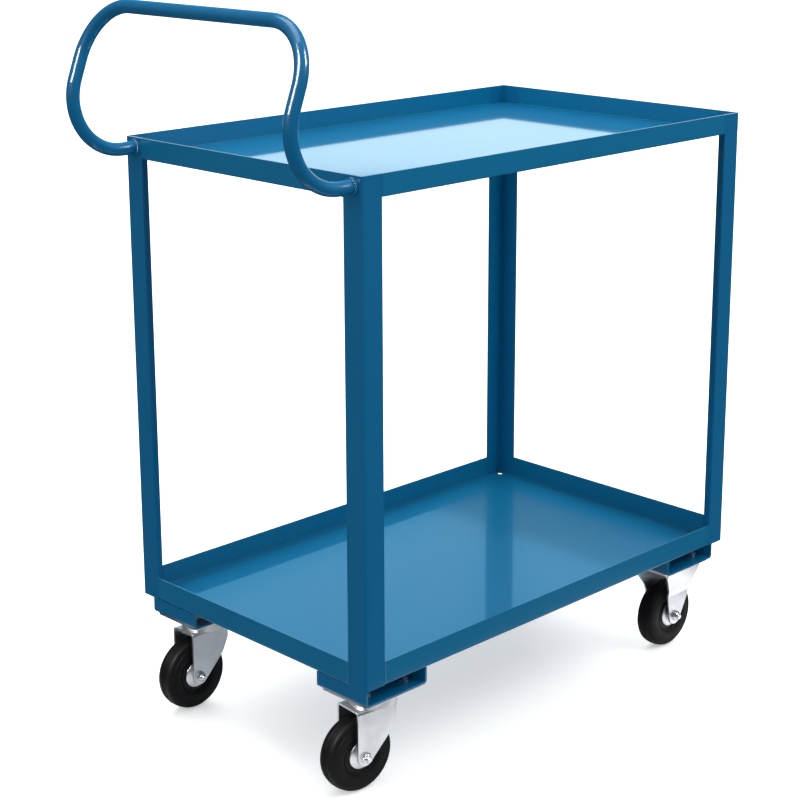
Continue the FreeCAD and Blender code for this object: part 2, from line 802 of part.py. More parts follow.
for corner in rigid_corners:
    save("rigid_fork_" + corner, rigid_fork(*caster_centre(corner)))
save("rigid_axle_bolts", *[axle_bolt(*caster_centre(corner)) for corner in rigid_corners])
save("rigid_axle_nuts", *[axle_nut(*caster_centre(corner)) for corner in rigid_corners])
save("rigid_axle_sleeves", *[axle_sleeve(*caster_centre(corner)) for corner in rigid_corners])

for corner in corners:
    centre_x, centre_y = caster_centre(corner)
    axle_x = centre_x - swivel_trail if corner in swivel_corners else centre_x
    discs = [hub_disc(axle_x, centre_y, way) for way in (1, -1)]
    save("tyre_" + corner, *swing(corner, tyre(axle_x, centre_y)))
    save("wheel_core_" + corner, *swing(corner, wheel_core(axle_x, centre_y)))
    save("hub_discs_" + corner, *swing(corner, *discs))
    save("rollers_" + corner, *swing(corner, *rollers(axle_x, centre_y)))
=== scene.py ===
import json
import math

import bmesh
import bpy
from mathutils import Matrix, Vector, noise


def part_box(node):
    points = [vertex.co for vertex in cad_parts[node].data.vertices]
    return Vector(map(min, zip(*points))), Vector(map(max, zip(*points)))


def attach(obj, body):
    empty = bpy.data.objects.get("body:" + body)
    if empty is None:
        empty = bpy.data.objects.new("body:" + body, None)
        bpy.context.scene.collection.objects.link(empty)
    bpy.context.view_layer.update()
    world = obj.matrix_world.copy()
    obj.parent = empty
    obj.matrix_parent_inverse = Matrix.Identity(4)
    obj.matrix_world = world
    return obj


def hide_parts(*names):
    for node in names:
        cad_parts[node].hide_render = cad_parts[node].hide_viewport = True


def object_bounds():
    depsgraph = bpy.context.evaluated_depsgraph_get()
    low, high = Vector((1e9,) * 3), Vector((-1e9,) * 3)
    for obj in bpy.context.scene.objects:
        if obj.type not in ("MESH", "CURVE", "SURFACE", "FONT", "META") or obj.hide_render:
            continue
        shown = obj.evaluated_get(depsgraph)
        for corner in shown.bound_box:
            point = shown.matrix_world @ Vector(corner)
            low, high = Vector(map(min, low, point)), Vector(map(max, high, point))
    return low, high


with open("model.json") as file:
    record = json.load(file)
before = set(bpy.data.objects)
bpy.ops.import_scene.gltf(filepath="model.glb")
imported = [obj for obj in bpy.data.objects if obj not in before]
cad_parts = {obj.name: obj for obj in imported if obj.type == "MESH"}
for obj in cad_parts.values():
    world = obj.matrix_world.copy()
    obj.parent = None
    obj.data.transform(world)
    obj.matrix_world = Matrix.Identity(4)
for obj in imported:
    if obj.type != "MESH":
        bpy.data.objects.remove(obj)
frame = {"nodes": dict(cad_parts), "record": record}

# %% [markdown]
# # Finishing a two-tray platform trolley
#
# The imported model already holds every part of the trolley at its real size: two pressed
# trays, four angle legs, a bent tube handle, four channel brackets and four casters.
# This lesson gives those parts their finishes, and swaps the parts whose surface carries
# more shape than a drawing shows (tyres, threads, nuts, weld beads, hub discs) for
# meshes made here. Everything is in metres, +Z up, +X from the handle to the nose.

cad_low, cad_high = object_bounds()
cad_centre = (cad_low + cad_high) / 2
print("packed model, metres:", [round(v, 3) for v in cad_high - cad_low])

corners = ("push_right", "push_left", "nose_right", "nose_left")
swivel_corners = ("push_right", "push_left")
rigid_corners = ("nose_right", "nose_left")


def middle_of(node):
    """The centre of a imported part's box."""
    low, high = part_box(node)
    return (Vector(low) + Vector(high)) / 2


def wheel_body(corner):
    return "wheel_" + corner


def caster_body(corner):
    """The body that carries a corner's axle: its swivel, or the frame if it is rigid."""
    return "swivel_" + corner if corner in swivel_corners else "trolley_frame"


# %% [markdown]
# ## Camera, floor and light
#
# A catalogue picture of painted steel is taken in a white room: pale floor, pale walls
# and large soft lamps. What stands opposite a surface matters as much as the lamps,
# because glossy paint and zinc show it. The camera looks down a little from the handle's
# corner with a long lens, so that the legs stay nearly upright, and a small lens shift
# helps as it does on a view camera.
#
# The floor works as a white sweep about as large as the trolley, with a darker studio
# beyond it. The zinc forks are low, so they mirror the white sweep and look bright. The
# upright paint is higher, so it mirrors the dark studio and keeps its deep blue. The
# Light Path node lets the floor be one brightness when it is seen and another when it is
# mirrored, which is what a photographer does with black and white cards. Where it is
# seen, the floor also glows a little, so that it runs into the white backdrop.

# %% Camera
camera_azimuth = math.radians(-44.58)
camera_elevation = math.radians(14.37)
camera_roll = math.radians(-0.20)
camera_distance = 3.200
aim_right = -0.0312
aim_up = 0.0481
sensor_width = 36.0
lens_length = 83.56
lens_shift = -0.1

back = Vector((
    math.sin(camera_azimuth) * math.cos(camera_elevation),
    -math.cos(camera_azimuth) * math.cos(camera_elevation),
    math.sin(camera_elevation)))
right = Vector((math.cos(camera_azimuth), math.sin(camera_azimuth), 0))
up = back.cross(right)
level = Matrix((right, up, back)).transposed().to_4x4()

camera_data = bpy.data.cameras.new("studio_camera")
camera_data.sensor_width = sensor_width
camera_data.lens = lens_length
camera_data.shift_y = lens_shift
camera = bpy.data.objects.new("studio_camera", camera_data)
spot = cad_centre + right * aim_right + up * aim_up + back * camera_distance
camera.matrix_world = Matrix.Translation(spot) @ level @ Matrix.Rotation(camera_roll, 4, "Z")
bpy.context.scene.collection.objects.link(camera)
bpy.context.scene.camera = camera
print("camera at", [round(v, 2) for v in spot])

# %% Floor
floor_half = 14.0
floor_roughness = 0.9
floor_mesh = bpy.data.meshes.new("studio_floor")
floor_mesh.from_pydata(
    [(-floor_half, -floor_half, 0), (floor_half, -floor_half, 0),
     (floor_half, floor_half, 0), (-floor_half, floor_half, 0)], [], [(0, 1, 2, 3)])
studio_floor = bpy.data.objects.new("studio_floor", floor_mesh)
bpy.context.scene.collection.objects.link(studio_floor)

floor_material = bpy.data.materials.new("studio_floor")
floor_material.use_nodes = True
floor_tree = floor_material.node_tree
floor_shader = floor_tree.nodes["Principled BSDF"]
floor_shader.inputs["Roughness"].default_value = floor_roughness
floor_shader.inputs["Specular IOR Level"].default_value = 0.0
floor_mesh.materials.append(floor_material)


def by_ray(tree, ray, otherwise, when_seen):
    """A brightness that depends on which kind of light ray asks for it."""
    rays = tree.nodes.new("ShaderNodeLightPath")
    pick = tree.nodes.new("ShaderNodeMapRange")
    tree.links.new(rays.outputs[ray], pick.inputs["Value"])
    for socket, value in ((pick.inputs["To Min"], otherwise), (pick.inputs["To Max"], when_seen)):
        if isinstance(value, float):
            socket.default_value = value
        else:
            tree.links.new(value, socket)
    return pick.outputs[0]


plain_white = (1.0, 1.0, 1.0, 1.0)
floor_seen = 0.95
floor_lift = 0.40
floor_bounce = 0.30
sweep_mirrored = 1.05
beyond_mirrored = 0.03
sweep_middle = (0.05, -0.1, 0.0)
sweep_half = (0.56, 0.42, 1.0)
sweep_edge = (0.95, 1.2)
where = floor_tree.nodes.new("ShaderNodeTexCoord")
offset = floor_tree.nodes.new("ShaderNodeVectorMath")
offset.operation = "SUBTRACT"
floor_tree.links.new(where.outputs["Object"], offset.inputs[0])
offset.inputs[1].default_value = sweep_middle
share = floor_tree.nodes.new("ShaderNodeVectorMath")
share.operation = "DIVIDE"
floor_tree.links.new(offset.outputs[0], share.inputs[0])
share.inputs[1].default_value = sweep_half
size = floor_tree.nodes.new("ShaderNodeVectorMath")
size.operation = "ABSOLUTE"
floor_tree.links.new(share.outputs[0], size.inputs[0])
sides = floor_tree.nodes.new("ShaderNodeSeparateXYZ")
floor_tree.links.new(size.outputs[0], sides.inputs[0])
furthest = floor_tree.nodes.new("ShaderNodeMath")
furthest.operation = "MAXIMUM"
floor_tree.links.new(sides.outputs["X"], furthest.inputs[0])
floor_tree.links.new(sides.outputs["Y"], furthest.inputs[1])
falloff = floor_tree.nodes.new("ShaderNodeMapRange")
falloff.interpolation_type = "SMOOTHSTEP"
floor_tree.links.new(furthest.outputs[0], falloff.inputs["Value"])
falloff.inputs["From Min"].default_value, falloff.inputs["From Max"].default_value = sweep_edge
falloff.inputs["To Min"].default_value = sweep_mirrored
falloff.inputs["To Max"].default_value = beyond_mirrored
shade = by_ray(floor_tree, "Is Glossy Ray", floor_bounce, falloff.outputs[0])
shade = by_ray(floor_tree, "Is Camera Ray", shade, floor_seen)
floor_tree.links.new(shade, floor_shader.inputs["Base Color"])
floor_shader.inputs["Emission Color"].default_value = plain_white
lift = by_ray(floor_tree, "Is Camera Ray", 0.0, floor_lift)
floor_tree.links.new(lift, floor_shader.inputs["Emission Strength"])
print("floor, metres across:", 2 * floor_half)

# %% Room
bpy.context.scene.view_settings.view_transform = "Standard"
world = bpy.data.worlds.new("studio_room")
bpy.context.scene.world = world
world.use_nodes = True
room_tree = world.node_tree
backdrop_seen = 1.12
room_light = 0.90
room_mirrored = 0.10
background = room_tree.nodes["Background"]
background.inputs["Color"].default_value = plain_white
strength = by_ray(room_tree, "Is Glossy Ray", room_light, room_mirrored)
strength = by_ray(room_tree, "Is Camera Ray", strength, backdrop_seen)
room_tree.links.new(strength, background.inputs["Strength"])
print("room brightness when seen, lighting and mirrored:", backdrop_seen, room_light, room_mirrored)


# %% [markdown]
# ### Lamps
#
# A long softbox on the far wall lies opposite the camera, so both tray floors mirror it.
# A lamp above and one at the right give the even light, and a broad high light comes
# from behind. The three windows only show as reflections: two put the white streaks on
# the round handle tube, and the cool one behind gives the lower tray its sheen, with the
# back leg standing dark in it. The far wall and the back window are tinted cool, because
# a clear coat mirrors a white lamp white, and the blue of the trays would wash out.

# %% Soft lamps
def softbox(name, place, look_at, width, height, glow, tint=(1.0, 1.0, 1.0)):
    """A rectangular softbox that faces a point. glow is its brightness per square metre."""
    lamp = bpy.data.lights.new(name, "AREA")
    lamp.shape = "RECTANGLE"
    lamp.size = width
    lamp.size_y = height
    lamp.energy = glow * math.pi * width * height
    lamp.color = tint
    holder = bpy.data.objects.new(name, lamp)
    holder.location = place
    facing = Vector(look_at) - Vector(place)
    holder.rotation_euler = facing.to_track_quat("-Z", "Y").to_euler()
    holder.visible_camera = False
    bpy.context.scene.collection.objects.link(holder)
    return holder


faint_tint = (0.74, 0.95, 1.0)
cool_tint = (0.22, 0.68, 1.0)
handle = (-0.45, -0.2, 1.1)
sun_strength = 2.2
sun_spread = math.radians(45)
sun_direction = (-1.0, -0.9, -1.0)

# The numbers are the place, the point it faces, the width, the height and the glow.
softbox("far_wall_softbox", (5.0, 4.4, 1.1), (0, 0, 1.1), 6.0, 2.2, 1.62, faint_tint)
softbox("overhead_softbox", (-0.4, 0.2, 3.0), (0, 0, 0.6), 1.6, 1.6, 3.6)
softbox("right_front_softbox", (1.2, -2.2, 3.0), (0, 0, 0.5), 1.6, 1.6, 3.9)
for only_mirrored in (
        softbox("left_window", (-3.0, -0.05, 2.9), handle, 1.4, 2.0, 34.0),
        softbox("right_window", (1.3, -2.3, 3.1), handle, 0.8, 1.4, 30.0),
        softbox("back_window", (5.0, 5.5, 3.62), (0.0, 5.5, 3.62), 6.0, 2.0, 1.0, cool_tint)):
    only_mirrored.visible_diffuse = False

high_window = bpy.data.lights.new("high_back_light", "SUN")
high_window.energy = sun_strength
high_window.angle = sun_spread
window_holder = bpy.data.objects.new("high_back_light", high_window)
window_holder.rotation_euler = Vector(sun_direction).to_track_quat("-Z", "Y").to_euler()
window_holder.visible_glossy = False
bpy.context.scene.collection.objects.link(window_holder)

# %% [markdown]
# ## Shared surface effects
#
# Several finishes need the same few effects: softly rounded and slightly worn edges, a
# fine even grain, and large faint clouds. Each one is a node group with named inputs and
# outputs. It is built once and then placed in every material that needs it, with that
# material's own values. The groups only put out masks, heights and normals; the shader
# itself stays in the material.


# %% Helpers for building node trees
def add_node(tree, kind, **settings):
    """A new node with some of its settings filled in."""
    node = tree.nodes.new(kind)
    for name, value in settings.items():
        setattr(node, name, value)
    return node


def set_values(node, **values):
    """Type values into a node's sockets. Underscores in the names stand for spaces."""
    for name, value in values.items():
        node.inputs[name.replace("_", " ")].default_value = value
    return node


def math_node(tree, operation, first, second):
    """A Math node whose inputs are either sockets or plain numbers."""
    node = add_node(tree, "ShaderNodeMath", operation=operation)
    for socket, value in zip(node.inputs, (first, second)):
        if isinstance(value, (int, float)):
            socket.default_value = value
        else:
            tree.links.new(value, socket)
    return node.outputs[0]


def new_group(name, inputs, outputs):
    """An empty node group. inputs maps names to default numbers; outputs maps names to types."""
    tree = bpy.data.node_groups.new(name, "ShaderNodeTree")
    for label, value in inputs.items():
        socket = tree.interface.new_socket(label, in_out="INPUT", socket_type="NodeSocketFloat")
        socket.default_value = value
    for label, kind in outputs.items():
        tree.interface.new_socket(label, in_out="OUTPUT", socket_type=kind)
    return tree, add_node(tree, "NodeGroupInput"), add_node(tree, "NodeGroupOutput")


def place_group(tree, group, **values):
    """Put a node group into a material, with this material's own values."""
    return set_values(add_node(tree, "ShaderNodeGroup", node_tree=group), **values)


# %% [markdown]
# ### Edges
#
# No real edge is perfectly sharp. Powder coat pulls thin over a sheared edge and catches
# the light, and zinc rubs bright there. The Bevel node gives a normal that is rounded
# near edges. Comparing it with the true normal tells how near an edge is, and some noise
# breaks that mask up.

# %% Edge group
edge_group, group_in, group_out = new_group(
    "soft_edges",
    {"Radius": 0.0012, "Break Up": 120.0},
    {"Mask": "NodeSocketFloat", "Normal": "NodeSocketVector"})
bevel = add_node(edge_group, "ShaderNodeBevel", samples=4)
edge_group.links.new(group_in.outputs["Radius"], bevel.inputs["Radius"])
true_normal = add_node(edge_group, "ShaderNodeNewGeometry")
turned = add_node(edge_group, "ShaderNodeVectorMath", operation="DOT_PRODUCT")
edge_group.links.new(bevel.outputs["Normal"], turned.inputs[0])
edge_group.links.new(true_normal.outputs["Normal"], turned.inputs[1])
away = math_node(edge_group, "SUBTRACT", 1.0, turned.outputs["Value"])
near_edge = set_values(add_node(edge_group, "ShaderNodeMapRange"), From_Min=0.01, From_Max=0.18)
edge_group.links.new(away, near_edge.inputs["Value"])
place = add_node(edge_group, "ShaderNodeTexCoord")
patches = set_values(add_node(edge_group, "ShaderNodeTexNoise"), Detail=3.0)
edge_group.links.new(place.outputs["Object"], patches.inputs["Vector"])
edge_group.links.new(group_in.outputs["Break Up"], patches.inputs["Scale"])
broken = add_node(edge_group, "ShaderNodeMapRange")
set_values(broken, From_Min=0.42, From_Max=0.62)
edge_group.links.new(patches.outputs["Fac"], broken.inputs["Value"])
worn = math_node(edge_group, "MULTIPLY", near_edge.outputs[0], broken.outputs[0])
edge_group.links.new(worn, group_out.inputs["Mask"])
edge_group.links.new(bevel.outputs["Normal"], group_out.inputs["Normal"])

# %% [markdown]
# ### Grain and clouds
#
# Powder coat dries with an even skin of tiny dimples, called orange peel. Zinc has a fine
# crystal grain, and rubber shows the blasted surface of its mould. All three are noise at
# a small scale, used as a height. The clouds are the same noise at a large scale: slow
# changes that keep a big flat panel from looking like one flat colour.

# %% Grain group and cloud group
finer_by = 3.1
grain_group, group_in, group_out = new_group(
    "fine_grain",
    {"Scale": 400.0, "Fine Share": 0.3},
    {"Height": "NodeSocketFloat", "Specks": "NodeSocketFloat"})
place = add_node(grain_group, "ShaderNodeTexCoord")
dimples = set_values(add_node(grain_group, "ShaderNodeTexNoise"), Detail=1.0, Roughness=0.4)
grain_group.links.new(place.outputs["Object"], dimples.inputs["Vector"])
grain_group.links.new(group_in.outputs["Scale"], dimples.inputs["Scale"])
finer = set_values(add_node(grain_group, "ShaderNodeTexNoise"), Detail=2.0, Roughness=0.6)
grain_group.links.new(place.outputs["Object"], finer.inputs["Vector"])
finer_scale = math_node(grain_group, "MULTIPLY", group_in.outputs["Scale"], finer_by)
grain_group.links.new(finer_scale, finer.inputs["Scale"])
fine_part = math_node(grain_group, "MULTIPLY", finer.outputs["Fac"], group_in.outputs["Fine Share"])
height = math_node(grain_group, "ADD", dimples.outputs["Fac"], fine_part)
grain_group.links.new(height, group_out.inputs["Height"])
specks = add_node(grain_group, "ShaderNodeMapRange")
set_values(specks, From_Min=0.60, From_Max=0.72)
grain_group.links.new(finer.outputs["Fac"], specks.inputs["Value"])
grain_group.links.new(specks.outputs[0], group_out.inputs["Specks"])

cloud_group, group_in, group_out = new_group(
    "slow_clouds", {"Scale": 3.0, "Contrast": 0.25}, {"Mask": "NodeSocketFloat"})
place = add_node(cloud_group, "ShaderNodeTexCoord")
clouds = set_values(add_node(cloud_group, "ShaderNodeTexNoise"), Detail=4.0, Roughness=0.55)
cloud_group.links.new(place.outputs["Object"], clouds.inputs["Vector"])
cloud_group.links.new(group_in.outputs["Scale"], clouds.inputs["Scale"])
low_end = math_node(cloud_group, "SUBTRACT", 0.5, group_in.outputs["Contrast"])
high_end = math_node(cloud_group, "ADD", 0.5, group_in.outputs["Contrast"])
spread = add_node(cloud_group, "ShaderNodeMapRange")
cloud_group.links.new(clouds.outputs["Fac"], spread.inputs["Value"])
cloud_group.links.new(low_end, spread.inputs["From Min"])
cloud_group.links.new(high_end, spread.inputs["From Max"])
cloud_group.links.new(spread.outputs[0], group_out.inputs["Mask"])

# %% [markdown]
# ### Settled dust
#
# A trolley that has stood in a store for a while has a faint film of dust on whatever
# faces up. The mask is the upward part of the surface's normal, broken up by noise.

# %% Dust group
dust_group, group_in, group_out = new_group(
    "settled_dust", {"Amount": 0.1, "Scale": 30.0}, {"Mask": "NodeSocketFloat"})
facing = add_node(dust_group, "ShaderNodeNewGeometry")
parts = add_node(dust_group, "ShaderNodeSeparateXYZ")
dust_group.links.new(facing.outputs["Normal"], parts.inputs[0])
lying = add_node(dust_group, "ShaderNodeMapRange")
set_values(lying, From_Min=0.55, From_Max=1.0)
dust_group.links.new(parts.outputs["Z"], lying.inputs["Value"])
place = add_node(dust_group, "ShaderNodeTexCoord")
drifts = set_values(add_node(dust_group, "ShaderNodeTexNoise"), Detail=6.0, Roughness=0.65)
dust_group.links.new(place.outputs["Object"], drifts.inputs["Vector"])
dust_group.links.new(group_in.outputs["Scale"], drifts.inputs["Scale"])
film = math_node(dust_group, "MULTIPLY", lying.outputs[0], drifts.outputs["Fac"])
film = math_node(dust_group, "MULTIPLY", film, group_in.outputs["Amount"])
dust_group.links.new(film, group_out.inputs["Mask"])
print("effects:", [g.name for g in bpy.data.node_groups])


# %% Helpers that tie effects to a shader
def blend_colours(tree, mask, first, second):
    """Mix two colours by a mask. Either colour may be a socket or plain numbers."""
    mix = add_node(tree, "ShaderNodeMix", data_type="RGBA")
    tree.links.new(mask, mix.inputs["Factor"])
    for socket, value in ((mix.inputs[6], first), (mix.inputs[7], second)):
        if isinstance(value, tuple):
            socket.default_value = (*value, 1)
        else:
            tree.links.new(value, socket)
    return mix.outputs[2]


def vary(tree, mask, low, high):
    """Turn a mask into a number between two ends, for roughness."""
    node = add_node(tree, "ShaderNodeMapRange")
    set_values(node, To_Min=low, To_Max=high)
    tree.links.new(mask, node.inputs["Value"])
    return node.outputs[0]


def start_finish(name):
    material = bpy.data.materials.new(name)
    material.use_nodes = True
    return material, material.node_tree, material.node_tree.nodes["Principled BSDF"]


def rough_up(tree, shader, height, depth, strength, rounded=None):
    """Give a shader its relief, on top of the rounded edges if there are any."""
    bump = set_values(add_node(tree, "ShaderNodeBump"), Distance=depth, Strength=strength)
    tree.links.new(height, bump.inputs["Height"])
    if rounded is not None:
        tree.links.new(rounded, bump.inputs["Normal"])
    tree.links.new(bump.outputs["Normal"], shader.inputs["Normal"])


# %% [markdown]
# ## Finishes
#
# **Blue powder coat.** Trays, legs, handle, brackets and their welds were painted
# together after welding, so they share one coat: a deep, slightly green blue under a
# clear shine. On the broad trays the peel is coarser and they mirror the room a little
# blurred; on the legs and the tube it is finer; over the welds it is lumpy and sparkles.
# The shine comes from the coat layer. The colour varies only a little, and pulls thin
# and lighter at sheared edges. The trays' copy of the coat is mixed a little lighter than
# the frame's, as painted light that brightens the tray floors.

# %% Blue powder coat
paint_deep = (0.0002, 0.1160, 0.2700)
paint_light = (0.0004, 0.1290, 0.2970)
# The trays' two blues are a lighter copy of the frame's: painted light for the tray floors.
tray_deep_painted_lighter = (0.0002, 0.1310, 0.2820)
tray_light_painted_lighter = (0.0004, 0.1460, 0.3100)
paint_thin = (0.0300, 0.2300, 0.4200)
dust_colour = (0.42, 0.43, 0.42)
thin_at_edges = 0.2
paint_roughness = (0.30, 0.42)


def powder_coat(name, deep, light, peel_depth, peel_scale, coat_roughness, dust):
    material, tree, shader = start_finish(name)
    edges = place_group(tree, edge_group, Radius=0.0010, Break_Up=90.0)
    grain = place_group(tree, grain_group, Scale=peel_scale, Fine_Share=0.35)
    clouds = place_group(tree, cloud_group, Scale=2.2, Contrast=0.3)
    film = place_group(tree, dust_group, Amount=dust, Scale=55.0)
    colour = blend_colours(tree, clouds.outputs["Mask"], deep, light)
    thinned = math_node(tree, "MULTIPLY", edges.outputs["Mask"], thin_at_edges)
    colour = blend_colours(tree, thinned, colour, paint_thin)
    colour = blend_colours(tree, film.outputs["Mask"], colour, dust_colour)
    tree.links.new(colour, shader.inputs["Base Color"])
    tree.links.new(vary(tree, clouds.outputs["Mask"], *paint_roughness), shader.inputs["Roughness"])
    set_values(shader, IOR=1.20, Coat_Weight=0.90, Coat_Roughness=coat_roughness, Coat_IOR=1.42)
    rough_up(tree, shader, grain.outputs["Height"], peel_depth, 0.5, edges.outputs["Normal"])
    return material


# The last four numbers are the peel's depth and scale, the coat's roughness and the dust.
tray_paint_painted_lighter = powder_coat(
    "blue_powder_coat_trays_painted_lighter", tray_deep_painted_lighter, tray_light_painted_lighter, 0.00040, 250.0, 0.06, 0.012)
frame_paint = powder_coat(
    "blue_powder_coat_frame", paint_deep, paint_light, 0.00008, 420.0, 0.05, 0.008)
weld_paint = powder_coat(
    "blue_powder_coat_welds", paint_deep, paint_light, 0.00060, 330.0, 0.03, 0.0)
print("paints:", [paint.name for paint in (tray_paint_painted_lighter, frame_paint, weld_paint)])

# %% [markdown]
# **Bright zinc.** Forks, plates and hub discs are stamped from sheet and then plated, so
# they are metallic, pale and a little cloudy, with a very fine grain and bright rubbed
# edges. Bolts and nuts are plated in a barrel and come out shinier.

# %% Bright zinc
zinc_pale = (0.82, 0.83, 0.85)
zinc_dull = (0.64, 0.66, 0.69)
zinc_bright = (0.90, 0.91, 0.92)
rubbed_at_edges = 0.8


def bright_zinc(name, smooth, rough, grain_depth, cloud_scale):
    material, tree, shader = start_finish(name)
    edges = place_group(tree, edge_group, Radius=0.0008, Break_Up=200.0)
    grain = place_group(tree, grain_group, Scale=900.0, Fine_Share=0.5)
    clouds = place_group(tree, cloud_group, Scale=cloud_scale, Contrast=0.28)
    colour = blend_colours(tree, clouds.outputs["Mask"], zinc_pale, zinc_dull)
    rubbed = math_node(tree, "MULTIPLY", edges.outputs["Mask"], rubbed_at_edges)
    colour = blend_colours(tree, rubbed, colour, zinc_bright)
    tree.links.new(colour, shader.inputs["Base Color"])
    shader.inputs["Metallic"].default_value = 1.0
    tree.links.new(vary(tree, clouds.outputs["Mask"], smooth, rough), shader.inputs["Roughness"])
    rough_up(tree, shader, grain.outputs["Height"], grain_depth, 0.4, edges.outputs["Normal"])
    return material


# The numbers are the smoothest and roughest patches, the grain's depth and the clouds' scale.
pressed_zinc = bright_zinc("bright_zinc_pressings", 0.26, 0.40, 0.00006, 26.0)
fastener_zinc = bright_zinc("bright_zinc_fasteners", 0.16, 0.30, 0.00003, 90.0)
ground_steel = bright_zinc("ground_bearing_steel", 0.10, 0.20, 0.00001, 60.0)
print("metals:", [metal.name for metal in (pressed_zinc, fastener_zinc, ground_steel)])

# %% [markdown]
# **Rubber and plastic.** The tyres are solid black rubber. Their sides keep the satin
# skin of the mould, and the tread is duller where it has rolled. The wheel centres are
# black plastic, harder and a little shinier.

# %% Black rubber and black plastic
rubber_black = (0.006, 0.006, 0.007)
rubber_dusty = (0.013, 0.013, 0.015)
plastic_black = (0.010, 0.010, 0.012)
bloom_share = 0.30
speck_share = 0.35
moulded_ior = 1.22


def moulded_black(name, base, smooth, rough, grain_depth):
    material, tree, shader = start_finish(name)
    grain = place_group(tree, grain_group, Scale=700.0, Fine_Share=0.6)
    clouds = place_group(tree, cloud_group, Scale=22.0, Contrast=0.22)
    marks = math_node(tree, "MULTIPLY", clouds.outputs["Mask"], grain.outputs["Specks"])
    dull = math_node(tree, "MULTIPLY", clouds.outputs["Mask"], bloom_share)
    colour = blend_colours(tree, dull, base, rubber_dusty)
    specks = math_node(tree, "MULTIPLY", marks, speck_share)
    colour = blend_colours(tree, specks, colour, rubber_dusty)
    tree.links.new(colour, shader.inputs["Base Color"])
    tree.links.new(vary(tree, clouds.outputs["Mask"], smooth, rough), shader.inputs["Roughness"])
    shader.inputs["IOR"].default_value = moulded_ior
    rough_up(tree, shader, grain.outputs["Height"], grain_depth, 0.6)
    return material


# The numbers are the smoothest and roughest patches, and the grain's depth.
tyre_rubber = moulded_black("solid_black_rubber", rubber_black, 0.42, 0.62, 0.00008)
core_plastic = moulded_black("wheel_centre_plastic", plastic_black, 0.30, 0.42, 0.00003)
seal_plastic = moulded_black("dust_ring_plastic", plastic_black, 0.38, 0.50, 0.00002)
print("blacks:", [black.name for black in (tyre_rubber, core_plastic, seal_plastic)])

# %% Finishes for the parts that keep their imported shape
finish_of_slot = {
    "frame_blue_paint": frame_paint,
    "zinc_pressing": pressed_zinc,
    "zinc_fastener": fastener_zinc,
    "bearing_steel": ground_steel,
    "black_rubber": tyre_rubber,
    "core_plastic": core_plastic,
    "seal_plastic": seal_plastic,
}
slot_of_node = {entry["node"]: entry["material_slot"] for entry in frame["record"]["subparts"]}
tray_nodes = ("top_tray", "lower_tray")
for name, part in frame["nodes"].items():
    finish = tray_paint_painted_lighter if name in tray_nodes else finish_of_slot[slot_of_node[name]]
    for material_slot in part.material_slots:
        material_slot.material = finish
print("finished packed parts:", len(frame["nodes"]))

# %% [markdown]
# ## Turned shapes
#
# Tyres and hub discs are round about an axle. The simplest honest way to make such a
# shape is the way a lathe does: draw half of the section and turn it. The section is
# drawn as (radius, along) points, with arcs sampled where the real part is curved.


# %% Lathe helpers
def arc_points(start, bulge, end, count):
    """Points on the circle arc from start to end that passes through bulge."""
    (x1, y1), (x2, y2), (x3, y3) = start, bulge, end
    cross = 2 * (x1 * (y2 - y3) + x2 * (y3 - y1) + x3 * (y1 - y2))
    s1, s2, s3 = x1 * x1 + y1 * y1, x2 * x2 + y2 * y2, x3 * x3 + y3 * y3
    centre_x = (s1 * (y2 - y3) + s2 * (y3 - y1) + s3 * (y1 - y2)) / cross
    centre_y = (s1 * (x3 - x2) + s2 * (x1 - x3) + s3 * (x2 - x1)) / cross
    radius = math.hypot(x1 - centre_x, y1 - centre_y)
    first = math.atan2(y1 - centre_y, x1 - centre_x)
    last = math.atan2(y3 - centre_y, x3 - centre_x)
    turn = (last - first + math.pi) % (2 * math.pi) - math.pi
    return [
        (centre_x + radius * math.cos(first + turn * i / count),
         centre_y + radius * math.sin(first + turn * i / count))
        for i in range(count + 1)]


def finish_mesh(name, shape, material, smooth_angle):
    """Turn a bmesh into an object with one finish and smooth shading between sharp edges."""
    bmesh.ops.remove_doubles(shape, verts=shape.verts, dist=1e-7)
    bmesh.ops.recalc_face_normals(shape, faces=shape.faces)
    mesh = bpy.data.meshes.new(name)
    shape.to_mesh(mesh)
    shape.free()
    mesh.materials.append(material)
    mesh.shade_smooth()
    mesh.set_sharp_from_angle(angle=math.radians(smooth_angle))
    piece = bpy.data.objects.new(name, mesh)
    bpy.context.scene.collection.objects.link(piece)
    return piece


def turn_section(shape, section, segments, matrix):
    """Turn a closed section of (radius, along) points about local Z."""
    rings = []
    for i in range(segments):
        angle = 2 * math.pi * i / segments
        rings.append([
            shape.verts.new(matrix @ Vector((r * math.cos(angle), r * math.sin(angle), along)))
            for r, along in section])
    for i in range(segments):
        here, there = rings[i], rings[(i + 1) % segments]
        for j in range(len(section)):
            k = (j + 1) % len(section)
            shape.faces.new((here[j], there[j], there[k], here[k]))


def wheel_swing(corner):
    """How far a corner's wheel stands turned about an upright line, from its joint."""
    for joint in frame["record"]["behaviour"]["joints"]:
        if joint["child"] == wheel_body(corner):
            return math.atan2(-joint["axis"][0], joint["axis"][1])


def axle_place(corner, way=1, along=0.0):
    """Stand local Z on a corner's axle, towards the wheel's left, or its right if way is -1."""
    swing = Matrix.Rotation(wheel_swing(corner), 4, "Z")
    step = Matrix.Translation((0, along, 0))
    lie = Matrix.Rotation(-way * math.pi / 2, 4, "X")
    return Matrix.Translation(middle_of("tyre_" + corner)) @ swing @ step @ lie


swings = [round(math.degrees(wheel_swing(corner)), 1) for corner in corners]
print("wheels stand turned by, degrees:", swings)

# %% [markdown]
# ### Tyres
#
# Each tyre is solid rubber, 125 mm across: a domed side that rises from a stepped bead
# round the wheel centre, a rounded shoulder, and two fine ribs that run round the tread.
# A thin flash line down the middle is where the two halves of the mould met.

# %% Tyres
tyre_segments = 160
tyre_crease = 28


